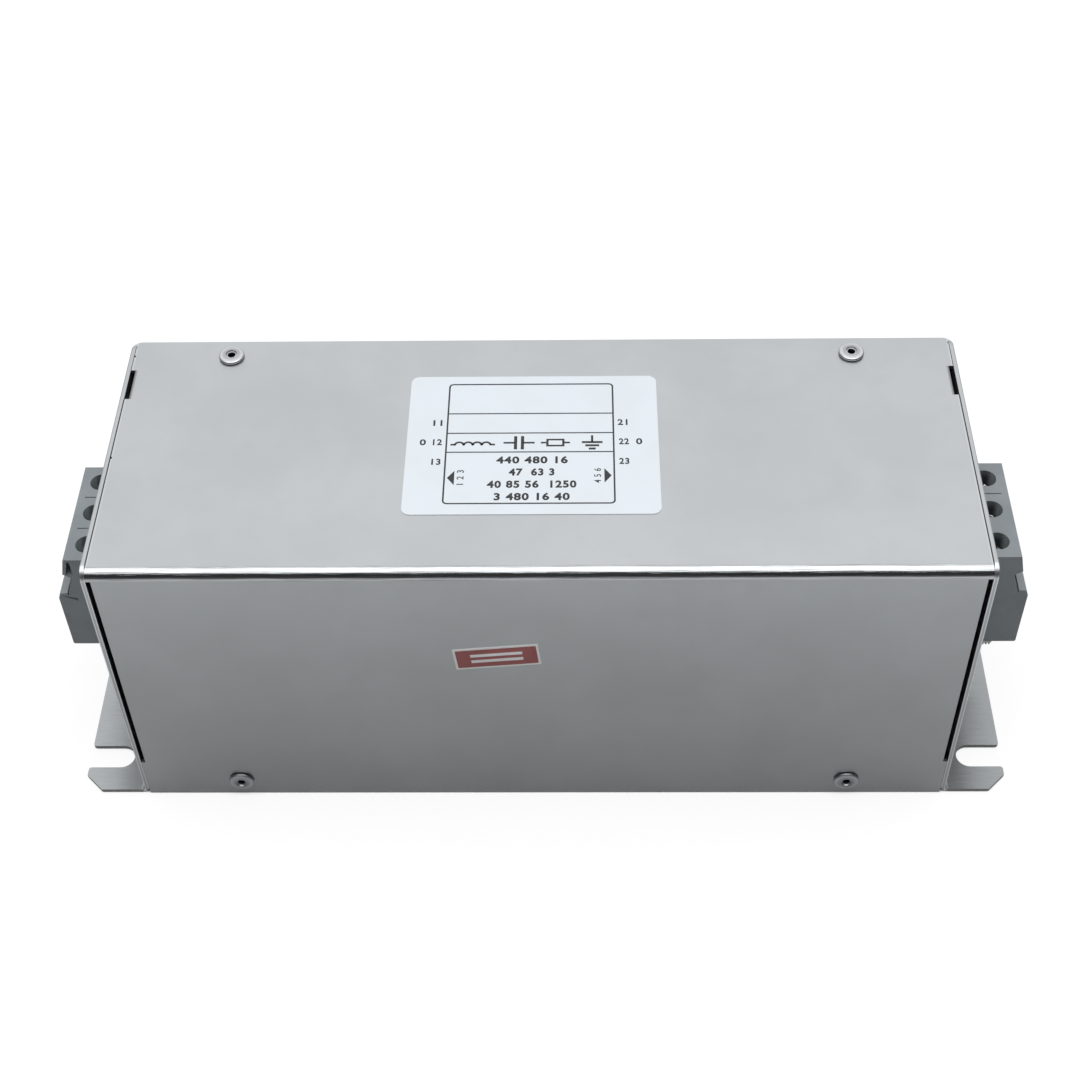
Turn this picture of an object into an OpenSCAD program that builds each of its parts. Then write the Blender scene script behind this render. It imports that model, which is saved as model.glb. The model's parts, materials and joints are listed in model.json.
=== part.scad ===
// Three-phase mains filter in a folded steel case, with a feed-through
// terminal block at each end. All sizes are in millimetres.
// +X runs to the load end, +Y to the back and +Z up.
// The origin is the centre of the mounting face.

/* [Case] */
// Length over the two end walls
case_l = 200; // [196:1:260]
// Depth from the front face to the back face
case_d = 75.5; // [74:0.5:110]
// Height above the mounting face
case_h = 83.5; // [80:0.5:120]
// Thickness of the steel sheet
sheet_t = 1; // [0.8:0.1:1.2]
// Inside radius of the chassis folds
fold_r = 1; // [0.8:0.1:1.4]
// Radius of the end walls' corners beside the front fold
wall_corner_r = 3; // [2.5:0.1:4]
// Inside radius of the two upright corners at the back
corner_r = 1.5; // [1.2:0.1:2.5]
// Gap between the edge of one sheet and the sheet beside it
seam_gap = 0.15; // [0.1:0.05:0.3]
// Height of the chassis lip behind the foot of the front panel
front_lip_h = 11; // [9:0.5:16]
// Width of the chassis lip under the back of the top panel
back_lip_w = 11; // [9:0.5:16]

/* [Cover] */
// Width of the slot between the front panel and each end wall
side_slot_w = 1.05; // [0.6:0.05:2]
// Height of the foot of the side slots above the mounting face
side_slot_foot = 13; // [8:0.5:30]
// Drop from the top face to the head of the side slots
side_slot_drop = 2.5; // [2.5:0.1:10]
// Inside radius of the cover's front fold
front_fold_r = 1.3; // [0.8:0.1:1.5]
// Length of the notch in each side of the top panel
notch_l = 10; // [4:0.5:20]
// Distance from the back face to that notch
notch_back = 10.1; // [8:0.1:20]
// Angle of each upright back corner that keeps the full height of the end wall
corner_wrap = 36; // [20:1:50]

/* [Rivets] */
// Distance between the two rivets of a row
rivet_spacing = 150; // [100:1:180]
// Distance of each row from its edge of the case
rivet_edge = 5.5; // [4.5:0.1:7]
// Diameter of the rivet body
rivet_d = 3.2; // [3:0.1:4]
// Diameter of the rivet head
rivet_head_d = 6.1; // [5.5:0.1:8]
// Height of the rivet head
rivet_head_h = 1.1; // [1:0.1:1.3]
// Diameter of the mandrel hole
mandrel_d = 1.9; // [1.5:0.1:2.1]

/* [Mounting flanges] */
// Width of each flange beyond its end wall
flange_w = 15.4; // [14:0.1:24]
// Width of the open slots, for M6 screws
slot_w = 6.6; // [5:0.1:7]
// Distance between the slots' round ends, left to right
slot_spacing_x = 215; // [210:0.5:280]
// Distance between the slots, front to back
slot_spacing_y = 55; // [45:0.5:60]
// Cut across each outer corner of a flange
flange_chamfer = 4.4; // [2:0.1:6]
// Radius of the corners at a slot's mouth
mouth_r = 0.7; // [0.3:0.1:1.2]

/* [Terminal blocks] */
// Distance from one pole to the next
pole_pitch = 10.16; // [10:0.01:12.5]
// Height of the block's underside above the mounting face
block_z = 31.8; // [28:0.1:36]
// Height of the block
block_h = 31; // [30:0.5:38]
// Reach of the block's foot beyond the end wall
block_reach = 15.7; // [15:0.1:20]
// Reach of the lip at the block's top edge
lip_reach = 12; // [11.5:0.1:13]
// Height of that lip
lip_h = 5.1; // [4:0.1:6]
// Diameter of the screwdriver holes
driver_d = 5.3; // [5.1:0.1:6]
// Distance of the screws from the end wall
screw_x = 7.2; // [7:0.1:8]
// Depth of the screw heads below the block's top
screw_depth = 4.2; // [3:0.1:5]
// Width of a clamp cage
cage_w = 8; // [7.4:0.1:8.4]
// Length of a clamp cage, in the direction of the wire
cage_l = 6; // [5:0.1:6.4]
// Height of a clamp cage
cage_h = 15.5; // [14:0.1:16.5]
// Width of a current bar
bar_w = 6; // [5:0.1:6.4]
// Thickness of a current bar
bar_t = 1.5; // [1:0.1:2]

/* [Earth studs] */
// Thread diameter of the studs
stud_d = 5; // [4:0.5:8]
// Reach of a stud beyond the end wall
stud_reach = 15; // [13:0.5:20]
// Height of the studs above the mounting face
stud_z = 15.5; // [13:0.1:20]
// Thickness of the earth nut
nut_h = 4; // [3:0.1:6]

/* [Choke] */
// Outer diameter of the ring core
core_od = 54; // [48:0.5:56]
// Inner diameter of the ring core
core_id = 34; // [33:0.5:36]
// Width of the ring core along its axis
core_w = 20; // [14:0.5:22]
// Diameter of the winding wire
wire_d = 2.6; // [2:0.1:2.7]
// Complete turns of each phase winding
turns = 8; // [5:1:8]

/* [Board] */
// Height of the board's underside above the mounting face
board_z = 8; // [6:0.5:9]
// Thickness of the board
board_t = 1.6; // [1.2:0.1:2]

/* [Labels] */
// Width of the label on the top
label_w = 58.3; // [40:0.1:80]
// Depth of the label on the top
label_d = 45; // [30:0.5:55]
// Thickness of the label and the sticker
label_t = 0.12; // [0.08:0.01:0.3]
// Width of the sticker on the front
sticker_w = 19.7; // [12:0.1:40]
// Height of the sticker on the front
sticker_h = 7.2; // [5:0.1:20]
// Tilt of the sticker
sticker_tilt = 6; // [0:0.5:10]

/* [Hidden] */
$fn = 48;

// How far a cutter runs past the face it cuts.
past = 1;
fit = 0.05;

// Case
fold_o = fold_r + sheet_t;
front_fold_o = front_fold_r + sheet_t;
corner_o = corner_r + sheet_t;
relief = 0.6;
end_x = case_l / 2;
front_y = -case_d / 2;
back_y = case_d / 2;
inner_x = end_x - sheet_t;
corner_x = end_x - corner_o;
corner_y = back_y - corner_o;
lip_y = front_y + sheet_t;
wall_front_y = front_y + 0.2;
cover_x = inner_x - seam_gap;

// Terminal blocks: heights are above the block's underside
poles = [-1, 0, 1];
pole_side = pole_pitch / 2;
neck_low = 4;
neck_high = block_h - 4;
neck_in = 10;
catch_h = 1;
catch_l = 3.4;
cage_floor = 5;
cage_side_t = 0.7;
cage_foot_t = 1.5;
cage_head_t = 2;
cage_travel = 1;
cage_gap = 0.2;
bar_low = 14;
bar_drop_in = 14;
bar_tail = 10.4;
screw_d = 4;
screw_head_d = 5;
screw_head_h = 2.4;
screw_seat = block_h - screw_depth - screw_head_h;
entry_low = cage_floor + cage_foot_t + 0.2;
entry_high = bar_low - 0.2;
entry_w = cage_w - 2 * cage_side_t;
entry_flare = 0.8;
ledge_z = block_h - 12.1;
ledge_in = block_reach - 2.7;
groove_in = lip_reach - 0.8;
lip_swell = 1.1;

// Board and what stands on it
board_top = board_z + board_t;
board_x = end_x - 10;
board_y = case_d / 2 - 7.75;
standoff_d = 6;
standoff_at = [for (x = [-1, 0, 1], y = [-1, 1]) [x * (board_x - 6), y * (board_y - 4)]];
film_t = 0.5;
film_y = board_y + 1.2;
film_h = 24;
capacitor_pitch = 19.5;

// Choke: the ring's axis lies along X
case_wall = 1.2;
core_gap = 0.2;
ring_out = core_od / 2 + core_gap + case_wall;
ring_in = core_id / 2 - core_gap - case_wall;
ring_w = core_w + 2 * (core_gap + case_wall);
ring_mid = (ring_out + ring_in) / 2;
turn_radial = (ring_out - ring_in) / 2 + core_gap + wire_d / 2;
turn_axial = ring_w / 2 + core_gap + wire_d / 2;
wound_r = ring_mid + turn_radial + wire_d / 2;
seat_r = wound_r + core_gap;
cradle_foot = 2;
choke_z = board_top + cradle_foot + seat_r;
turn_step = 12;
phase_start = [40, 160, 280];
lead_x = turn_axial + 5.1;

// 2-D quarter of a ring in the +X +Y quadrant, centred on the origin.
module quarter_ring(inside, wall) {
    intersection() {
        difference() {
            circle(inside + wall);
            circle(inside);
        }
        square(inside + wall);
    }
}

// 2-D cutter that rounds an outside corner at the origin, whose sides run to +X and +Y.
module corner_cutter(radius) {
    difference() {
        translate([-past, -past]) square(radius + past);
        translate([radius, radius]) circle(radius);
    }
}

// 2-D rectangle with rounded corners, centred on the origin.
module rounded_rectangle(width, height, radius) {
    square([width - 2 * radius, height], center = true);
    square([width, height - 2 * radius], center = true);
    for (x = [-1, 1], y = [-1, 1])
        translate([x * (width / 2 - radius), y * (height / 2 - radius)]) circle(radius);
}

// Extrudes a Y-Z profile along X, from -half to +half.
module along_x(half) {
    rotate([90, 0, 90]) translate([0, 0, -half]) linear_extrude(2 * half) children();
}

// Extrudes an X-Z profile along Y, from y0 to y1.
module along_y(y0, y1) {
    translate([0, y1, 0]) rotate([90, 0, 0]) linear_extrude(y1 - y0) children();
}

// Turns what is drawn for the load end round to the line end when end is -1.
module at_end(end) {
    rotate([0, 0, end > 0 ? 0 : 180]) children();
}

// Mirrors what is drawn for the right side to the left when side is -1.
module at_side(side) {
    mirror([side > 0 ? 0 : 1, 0, 0]) children();
}

// Local frame of a terminal block: X runs out of the end wall, Z up from its underside.
module at_block(end, pole) {
    at_end(end) translate([end_x, pole * pole_pitch, block_z]) children();
}

// Stands children, drawn along +Z from a face, on the cover at each rivet.
module at_rivets() {
    for (x = [-1, 1] * rivet_spacing / 2) {
        translate([x, back_y - rivet_edge, case_h]) children();
        translate([x, front_y, rivet_edge]) rotate([90, 0, 0]) children();
    }
}

// ---- Case ----

// Floor with the upturned front lip, in the Y-Z plane.
module floor_profile() {
    translate([lip_y + fold_o, 0]) square([back_y - lip_y - 2 * fold_o, sheet_t]);
    translate([lip_y + fold_o, fold_o]) rotate(180) quarter_ring(fold_r, sheet_t);
    translate([lip_y, fold_o]) square([sheet_t, front_lip_h - fold_o]);
}

// Back wall with its fold to the floor, in the Y-Z plane.
module back_profile() {
    translate([back_y - fold_o, fold_o]) rotate(-90) quarter_ring(fold_r, sheet_t);
    translate([back_y - sheet_t, fold_o]) square([sheet_t, case_h - sheet_t - 2 * fold_o]);
}

// Fold and lip at the head of the back wall, in the Y-Z plane.
module back_lip_profile() {
    translate([back_y - fold_o, case_h - sheet_t - fold_o]) quarter_ring(fold_r, sheet_t);
    translate([back_y - back_lip_w, case_h - 2 * sheet_t]) square([back_lip_w - fold_o, sheet_t]);
}

// Right end wall with its outward flange, in the X-Z plane.
module end_profile(wall_top) {
    translate([inner_x, fold_o]) square([sheet_t, wall_top - fold_o]);
    translate([end_x + fold_r, fold_o]) rotate(180) quarter_ring(fold_r, sheet_t);
    translate([end_x + fold_r, 0]) square([flange_w - fold_r, sheet_t]);
}

// Plan of what is cut from the right flange: two open slots, four mouth corners, two chamfers.
module flange_cuts() {
    tip_x = end_x + flange_w;
    for (y = [-1, 1] * slot_spacing_y / 2) {
        translate([slot_spacing_x / 2, y]) circle(d = slot_w);
        translate([slot_spacing_x / 2, y - slot_w / 2]) square([flange_w, slot_w]);
        for (side = [-1, 1])
            translate([tip_x, y + side * slot_w / 2]) rotate(side > 0 ? 90 : 180)
                corner_cutter(mouth_r);
    }
    for (corner = [[wall_front_y, 1], [back_y, -1]])
        polygon([[tip_x + past, corner[0] - corner[1] * past],
            [tip_x + past, corner[0] + corner[1] * (flange_chamfer + past)],
            [tip_x - flange_chamfer - past, corner[0] - corner[1] * past]]);
}

module end_openings() {
    low = block_z + neck_low - seam_gap;
    high = block_z + neck_high + seam_gap;
    half = 1.5 * pole_pitch + seam_gap;
    translate([end_x - sheet_t - past, -half, low]) cube([sheet_t + 2 * past, 2 * half, high - low]);
    translate([end_x - sheet_t - past, 0, stud_z]) rotate([0, 90, 0])
        cylinder(d = stud_d + 2 * fit, h = sheet_t + 2 * past);
}

// Wedge of the +X +Y quadrant, from +X round to an angle.
module wedge(angle, reach) {
    polygon([[0, 0], [reach, 0], [reach, reach * tan(angle)]]);
}

// The wall's top edge runs on round the corner as far as the wrap; past it the edge lies one sheet
// lower, under the cover.
module end_wall() {
    corner_foot = fold_o + relief;
    difference() {
        union() {
            along_y(wall_front_y, corner_y) end_profile(case_h);
            along_y(corner_y, back_y)
                translate([end_x + fold_r, 0]) square([flange_w - fold_r, sheet_t]);
            translate([corner_x, corner_y, corner_foot]) {
                linear_extrude(case_h - sheet_t - corner_foot) quarter_ring(corner_r, sheet_t);
                linear_extrude(case_h - corner_foot) intersection() {
                    quarter_ring(corner_r, sheet_t);
                    wedge(corner_wrap, 2 * corner_o);
                }
            }
        }
        translate([0, 0, -past]) linear_extrude(sheet_t + 2 * past) flange_cuts();
        end_openings();
    }
}

module rivet_bores() {
    at_rivets() translate([0, 0, -2 * sheet_t - past]) cylinder(d = rivet_d + 2 * fit, h = 2 * sheet_t + 2 * past);
}

module chassis() {
    color("silver") difference() {
        union() {
            along_x(cover_x) floor_profile();
            along_x(corner_x) back_profile();
            along_x(corner_x - relief) back_lip_profile();
            for (side = [-1, 1]) at_side(side) end_wall();
        }
        along_x(end_x + past) translate([wall_front_y, case_h]) rotate(-90) corner_cutter(wall_corner_r);
        rivet_bores();
    }
}

// Plan of the top panel behind the front fold: a notch in each side, round back corners that lap
// the chassis corners past their wrap, and two nicks where joints held the blank in its sheet.
module top_panel_plan() {
    start_y = front_y + front_fold_o;
    nicks_y = [-2, back_y - 5.1];
    nick_r = 0.35;
    wrap_gap = asin(seam_gap / corner_o) + 1;
    difference() {
        union() {
            translate([-cover_x, start_y]) square([2 * cover_x, back_y - start_y]);
            translate([-end_x, corner_y]) square([case_l, corner_o]);
        }
        for (side = [-1, 1])
            translate([side * cover_x - side_slot_w, back_y - notch_back - notch_l]) square([2 * side_slot_w, notch_l]);
        for (y = nicks_y) translate([-cover_x, y]) circle(nick_r);
        for (side = [0, 1]) mirror([side, 0]) {
            translate([end_x, back_y]) rotate(180) corner_cutter(corner_o);
            translate([corner_x, corner_y]) difference() {
                wedge(corner_wrap + wrap_gap, 2 * corner_o);
                circle(corner_r - seam_gap);
            }
        }
    }
}

module cover() {
    front_top = case_h - front_fold_o;
    color("gainsboro") difference() {
        union() {
            translate([0, 0, case_h - sheet_t]) linear_extrude(sheet_t) top_panel_plan();
            along_x(cover_x) translate([front_y + front_fold_o, front_top])
                rotate(90) quarter_ring(front_fold_r, sheet_t);
            along_x(cover_x) translate([front_y, 0]) square([sheet_t, front_top]);
        }
        for (side = [-1, 1]) at_side(side)
            translate([cover_x - side_slot_w, front_y - past, side_slot_foot])
                cube([side_slot_w + past, sheet_t + 2 * past, case_h - side_slot_drop - side_slot_foot]);
        rivet_bores();
    }
}

// Blind rivet, drawn with its seat at z = 0 and its tail below. Its head has a round shoulder, a low
// crown, and a dish round the mandrel hole.
module rivet() {
    shoulder = 0.45;
    seat_r = rivet_head_d / 2 - shoulder;
    crown = rivet_head_h - 2 * shoulder;
    crown_r = (pow(seat_r, 2) + crown * crown) / (2 * crown);
    dish_d = 2.8;
    dish = 0.4;
    tail = 2.6;
    grip = 2 * sheet_t;
    difference() {
        union() {
            rotate_extrude() translate([seat_r, shoulder]) circle(shoulder);
            cylinder(r = seat_r, h = 2 * shoulder);
            intersection() {
                translate([0, 0, rivet_head_h - crown_r]) sphere(crown_r);
                cylinder(r = seat_r, h = rivet_head_h);
            }
            translate([0, 0, -grip - tail]) cylinder(d = rivet_d, h = grip + tail);
            translate([0, 0, -grip - tail]) cylinder(d1 = rivet_d, d2 = 1.5 * rivet_d, h = tail);
        }
        translate([0, 0, -grip - tail - past]) cylinder(d = mandrel_d, h = grip + tail + rivet_head_h + 2 * past);
        translate([0, 0, rivet_head_h - dish]) cylinder(d1 = dish_d - 0.4, d2 = dish_d, h = dish + fit);
    }
}

// What is left of a rivet's mandrel: its stem inside the body, its head at the tail.
module mandrel() {
    stem_top = -1;
    tail = -2 * sheet_t - 2.6;
    head_h = 1;
    translate([0, 0, tail - head_h]) cylinder(d = 1.5 * mandrel_d, h = head_h);
    translate([0, 0, tail]) cylinder(d = mandrel_d - 2 * fit, h = stem_top - tail);
}

module cover_rivets() {
    color("lightgrey") at_rivets() rivet();
}

module rivet_mandrels() {
    color("dimgray") at_rivets() mandrel();
}

module rating_label() {
    label_x = -1.5;
    label_y = front_y + 39.85;
    label_r = 2;
    color("white") translate([label_x, label_y, case_h])
        linear_extrude(label_t) rounded_rectangle(label_w, label_d, label_r);
}

module front_sticker() {
    sticker_x = -9.7;
    sticker_z = 54.5;
    color("firebrick") translate([sticker_x, front_y, sticker_z]) rotate([90, -sticker_tilt, 0])
        linear_extrude(label_t) square([sticker_w, sticker_h], center = true);
}

// ---- Terminal blocks ----

// Side view of a pole: foot, ledge with its slot for a marker strip, groove, lip, and the neck that
// passes through the wall.
module pole_profile() {
    edge = 0.3;
    ledge_slope = 0.3;
    strip_t = 0.3;
    strip_foot = ledge_z - 0.7;
    outer_chamfer = [0.5, 1.6];
    groove_z = block_h - lip_h - 1.3;
    catch_x = -sheet_t - seam_gap;
    polygon([[0, 0], [block_reach - edge, 0], [block_reach, edge],
        [block_reach, ledge_z - outer_chamfer[1]], [block_reach - outer_chamfer[0], ledge_z],
        [ledge_in + strip_t, ledge_z + ledge_slope], [ledge_in + strip_t, strip_foot],
        [ledge_in, strip_foot], [ledge_in, ledge_z + ledge_slope], [groove_in, groove_z],
        [lip_reach + lip_swell, block_h - lip_h], [lip_reach, block_h], [0, block_h],
        [0, neck_high], [catch_x, neck_high], [catch_x, neck_high + catch_h],
        [catch_x - catch_l, neck_high], [-neck_in, neck_high],
        [-neck_in, neck_low], [catch_x - catch_l, neck_low],
        [catch_x, neck_low - catch_h], [catch_x, neck_low], [0, neck_low]]);
}

// Flared mouth of the wire entry: two wedges that taper in width and in height.
module entry_mouth() {
    mid_z = (entry_low + entry_high) / 2;
    half_w = entry_w / 2;
    half_h = (entry_high - entry_low) / 2;
    depth = block_reach - screw_x - cage_l / 2;
    start = block_reach - depth;
    intersection() {
        linear_extrude(block_h)
            polygon([[start, -half_w], [block_reach - 2, -half_w], [block_reach, -half_w - entry_flare],
                [block_reach + past, -half_w - entry_flare], [block_reach + past, half_w + entry_flare],
                [block_reach, half_w + entry_flare], [block_reach - 2, half_w], [start, half_w]]);
        along_y(-pole_side, pole_side) translate([0, mid_z])
            polygon([[start, -half_h], [block_reach - 2, -half_h], [block_reach, -half_h - entry_flare],
                [block_reach + past, -half_h - entry_flare], [block_reach + past, half_h + entry_flare],
                [block_reach, half_h + entry_flare], [block_reach - 2, half_h], [start, half_h]]);
    }
}

// Keying pocket and wedge slit in the pole's +Y side.
module keying_cuts() {
    pocket_z = block_h - lip_h - 0.1;
    pocket_h = 4.4;
    cut_depth = 2.4;
    along_y(pole_side - cut_depth, pole_side + past) {
        polygon([[groove_in - 0.5, pocket_z + pocket_h], [groove_in - 0.6, pocket_z],
            [groove_in + 1.1, pocket_z], [groove_in + 0.1, pocket_z + pocket_h]]);
        polygon([[block_reach - 1.1, ledge_z - 0.7], [block_reach - 4.6, ledge_z - 1.7],
            [block_reach - 4.5, ledge_z - 2.7], [block_reach - 1.1, ledge_z - 0.95]]);
    }
}

// One moulded pole. A joint is the small step along its top edge that shows as a line.
module pole(front_joint, back_joint) {
    cage_x = screw_x - cage_l / 2 - cage_gap;
    cavity_w = cage_w + 2 * cage_gap;
    cavity_low = cage_floor - cage_gap;
    cavity_high = cage_floor + cage_h + cage_travel;
    bar_slot = 0.1;
    joint_w = 0.15;
    joint_d = 0.5;
    joint_l = lip_reach - 1.7;
    difference() {
        along_y(-pole_side, pole_side) pole_profile();
        translate([screw_x, 0, screw_seat]) cylinder(d = driver_d, h = block_h);
        translate([screw_x, 0, cage_floor + cage_h]) cylinder(d = screw_d + 0.3, h = block_h / 2);
        translate([cage_x, -cavity_w / 2, cavity_low])
            cube([cage_l + 2 * cage_gap, cavity_w, cavity_high - cavity_low]);
        entry_mouth();
        translate([-neck_in - past, -bar_w / 2 - bar_slot, bar_low - bar_slot])
            cube([neck_in + past + screw_x, bar_w + 2 * bar_slot, bar_t + 2 * bar_slot]);
        keying_cuts();
        if (front_joint)
            translate([0, -pole_side - past, block_h - joint_d]) cube([joint_l, past + joint_w, joint_d + past]);
        if (back_joint)
            translate([0, pole_side - joint_w, block_h - joint_d]) cube([joint_l, past + joint_w, joint_d + past]);
    }
}

module line_pole(number) {
    color("slategray") at_block(-1, poles[number]) pole(number > 0, number < 2);
}

module load_pole(number) {
    color("slategray") at_block(1, poles[number]) pole(number > 1, number == 1);
}

// Rising cage of a screw clamp: a rectangular loop with a threaded head.
module clamp_cage() {
    difference() {
        translate([screw_x - cage_l / 2, -cage_w / 2, cage_floor]) cube([cage_l, cage_w, cage_h]);
        translate([screw_x - cage_l / 2 - past, -cage_w / 2 + cage_side_t, cage_floor + cage_foot_t])
            cube([cage_l + 2 * past, cage_w - 2 * cage_side_t, cage_h - cage_foot_t - cage_head_t]);
        translate([screw_x, 0, cage_floor + cage_h - cage_head_t - past])
            cylinder(d = screw_d + 2 * fit, h = cage_head_t + 2 * past);
    }
}

module clamp_screw() {
    slot_gap = 0.9;
    slot_cut = 1.1;
    tip = bar_low + bar_t;
    translate([screw_x, 0, 0]) difference() {
        union() {
            translate([0, 0, tip]) cylinder(d = screw_d, h = screw_seat - tip);
            translate([0, 0, screw_seat]) cylinder(d = screw_head_d, h = screw_head_h);
        }
        translate([-screw_head_d / 2 - past, -slot_gap / 2, screw_seat + screw_head_h - slot_cut])
            cube([screw_head_d + 2 * past, slot_gap, slot_cut + past]);
    }
}

module clamp_cages(end) {
    color("goldenrod") for (pole = poles) at_block(end, pole) clamp_cage();
}

module clamp_screws(end) {
    color("lightgrey") for (pole = poles) at_block(end, pole) clamp_screw();
}

// Copper bar from the clamp through the wall, then down to a pin in the board.
module current_bar() {
    bend_in = 1.5;
    bend_out = bend_in + bar_t;
    leg_x = -bar_drop_in;
    high = bar_low + bar_t;
    pin_w = 3;
    leg_foot = board_top - block_z;
    pin_foot = board_z - block_z - 1.5;
    along_y(-bar_w / 2, bar_w / 2) {
        translate([leg_x + bend_out, bar_low]) square([bar_tail - leg_x - bend_out, bar_t]);
        translate([leg_x + bend_out, high - bend_out]) rotate(90) quarter_ring(bend_in, bar_t);
        translate([leg_x, leg_foot]) square([bar_t, high - bend_out - leg_foot]);
    }
    translate([leg_x, -pin_w / 2, pin_foot]) cube([bar_t, pin_w, leg_foot - pin_foot]);
}

module bar(end, number) {
    color("peru") at_block(end, poles[number]) current_bar();
}

// ---- Earth studs ----

module at_studs() {
    for (end = [-1, 1]) at_end(end) translate([end_x, 0, stud_z]) rotate([0, 90, 0]) children();
}

module earth_studs() {
    head_d = stud_d + 2;
    head_h = 1.4;
    tip = 0.8;
    color("silver") at_studs() {
        translate([0, 0, -sheet_t - head_h]) cylinder(d = head_d, h = head_h);
        translate([0, 0, -sheet_t]) cylinder(d = stud_d, h = sheet_t + stud_reach - tip);
        translate([0, 0, stud_reach - tip]) cylinder(d1 = stud_d, d2 = stud_d - 2 * tip, h = tip);
    }
}

washer_h = 1.2;
washer_d = 2 * stud_d;

module earth_flat_washers() {
    color("silver") at_studs() difference() {
        cylinder(d = washer_d, h = washer_h);
        translate([0, 0, -past]) cylinder(d = stud_d + 0.4, h = washer_h + 2 * past);
    }
}

module earth_spring_washers() {
    split = 1;
    color("gray") at_studs() translate([0, 0, washer_h]) difference() {
        cylinder(d = washer_d - 1, h = washer_h);
        translate([0, 0, -past]) cylinder(d = stud_d + 0.2, h = washer_h + 2 * past);
        rotate([-20, 0, 0]) translate([0, -split / 2, -washer_d]) cube([washer_d, split, 2 * washer_d]);
    }
}

module earth_nuts() {
    across_flats = 1.6 * stud_d;
    across_corners = across_flats / cos(30);
    face_d = 0.95 * across_flats;
    far_d = face_d + 2 * nut_h / tan(30);
    color("silver") at_studs() translate([0, 0, 2 * washer_h]) difference() {
        intersection() {
            cylinder(d = across_corners, h = nut_h, $fn = 6);
            cylinder(d1 = face_d, d2 = far_d, h = nut_h);
            cylinder(d1 = far_d, d2 = face_d, h = nut_h);
        }
        translate([0, 0, -past]) cylinder(d = stud_d + 2 * fit, h = nut_h + 2 * past);
    }
}

// ---- Board ----

// Insulating film, folded up along the front and the back of the floor.
module floor_insulator() {
    film_x = board_x + 2;
    color("ivory") difference() {
        along_x(film_x) translate([0, sheet_t]) {
            translate([-film_y + film_t + fold_r, 0]) square([2 * (film_y - film_t - fold_r), film_t]);
            for (side = [-1, 1]) mirror([side > 0 ? 0 : 1, 0]) {
                translate([film_y - film_t - fold_r, film_t + fold_r]) rotate(-90) quarter_ring(fold_r, film_t);
                translate([film_y - film_t, film_t + fold_r]) square([film_t, film_h - film_t - fold_r]);
            }
        }
        for (at = standoff_at)
            translate([at[0], at[1], 0]) cylinder(d = standoff_d + 0.4, h = sheet_t + film_t + past);
    }
}

module main_board() {
    bar_x = end_x - bar_drop_in;
    pin_room = 0.2;
    color("darkgreen") difference() {
        translate([-board_x, -board_y, board_z]) cube([2 * board_x, 2 * board_y, board_t]);
        for (at = standoff_at)
            translate([at[0], at[1], board_z - past]) cylinder(d = 3.2, h = board_t + 2 * past);
        for (end = [-1, 1], pole = poles)
            at_end(end) translate([bar_x - pin_room, pole * pole_pitch - 1.5 - pin_room, board_z - past])
                cube([bar_t + 2 * pin_room, 3 + 2 * pin_room, board_t + 2 * past]);
        for (phase = [0, 1, 2], lead = [lead_foot(phase, 0), lead_foot(phase, 1)])
            translate([lead[0], lead[1], board_z - past]) cylinder(d = wire_d + 0.4, h = board_t + 2 * past);
    }
}

module board_standoffs() {
    color("silver") for (at = standoff_at)
        translate([at[0], at[1], sheet_t]) difference() {
            cylinder(d = standoff_d, h = board_z - sheet_t);
            translate([0, 0, 2]) cylinder(d = 3, h = board_z);
        }
}

module board_screws() {
    head_d = 5.6;
    head_h = 2;
    length = 5;
    color("lightgrey") for (at = standoff_at)
        translate([at[0], at[1], board_top]) difference() {
            union() {
                cylinder(d1 = head_d, d2 = 0.8 * head_d, h = head_h);
                translate([0, 0, -length]) cylinder(d = 2.9, h = length);
            }
            for (turn = [0, 90]) rotate([0, 0, turn])
                translate([-1.6, -0.4, head_h - 1]) cube([3.2, 0.8, 2]);
        }
}

// Boxed film capacitor, standing on the board.
module boxed_capacitor(length, width, height) {
    edge = 1;
    translate([0, 0, board_top]) linear_extrude(height) rounded_rectangle(length, width, edge);
}

module mains_capacitor(end, number) {
    color("goldenrod") at_end(end)
        translate([39, poles[number] * capacitor_pitch, 0]) boxed_capacitor(32, 18, 33);
}

module earth_capacitors(end) {
    color("royalblue") at_end(end) for (pole = poles)
        translate([64, pole * capacitor_pitch, 0]) boxed_capacitor(7, 13, 14);
}

module discharge_resistors() {
    body_d = 4;
    body_l = 11;
    leg_d = 0.8;
    leg_y = body_l / 2 + 1.5;
    height = board_top + body_d / 2 + 0.3;
    color("tan") for (pole = poles)
        translate([73, pole * capacitor_pitch, height]) {
            along_y(-body_l / 2, body_l / 2) circle(d = body_d);
            along_y(-leg_y, leg_y) circle(d = leg_d);
            for (side = [-1, 1])
                translate([0, side * leg_y, board_top - height]) cylinder(d = leg_d, h = height - board_top);
        }
}

// ---- Choke ----

// Stands a ring, drawn with its axis along Z, on edge with its axis along X.
module on_choke_axis() {
    translate([0, 0, choke_z]) rotate([0, 90, 0]) children();
}

module ring_section(inside, outside, width, radius) {
    translate([(inside + outside) / 2, 0]) rounded_rectangle(outside - inside, width, radius);
}

module choke_core() {
    color("dimgray") on_choke_axis() rotate_extrude($fn = 72)
        ring_section(core_id / 2, core_od / 2, core_w, 0.6);
}

module core_case() {
    room = core_gap;
    color("black") on_choke_axis() rotate_extrude($fn = 72) difference() {
        ring_section(ring_in, ring_out, ring_w, 3);
        translate([ring_in + case_wall, -ring_w / 2 + case_wall]) square([ring_out - ring_in - 2 * case_wall, ring_w]);
        translate([ring_in - past, core_w / 2 + room]) square([ring_out, ring_w]);
    }
}

module core_case_lid() {
    color("dimgray") on_choke_axis() rotate_extrude($fn = 72) intersection() {
        ring_section(ring_in, ring_out, ring_w, 3);
        translate([ring_in - past, core_w / 2 + core_gap]) square([ring_out, ring_w]);
    }
}

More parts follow.
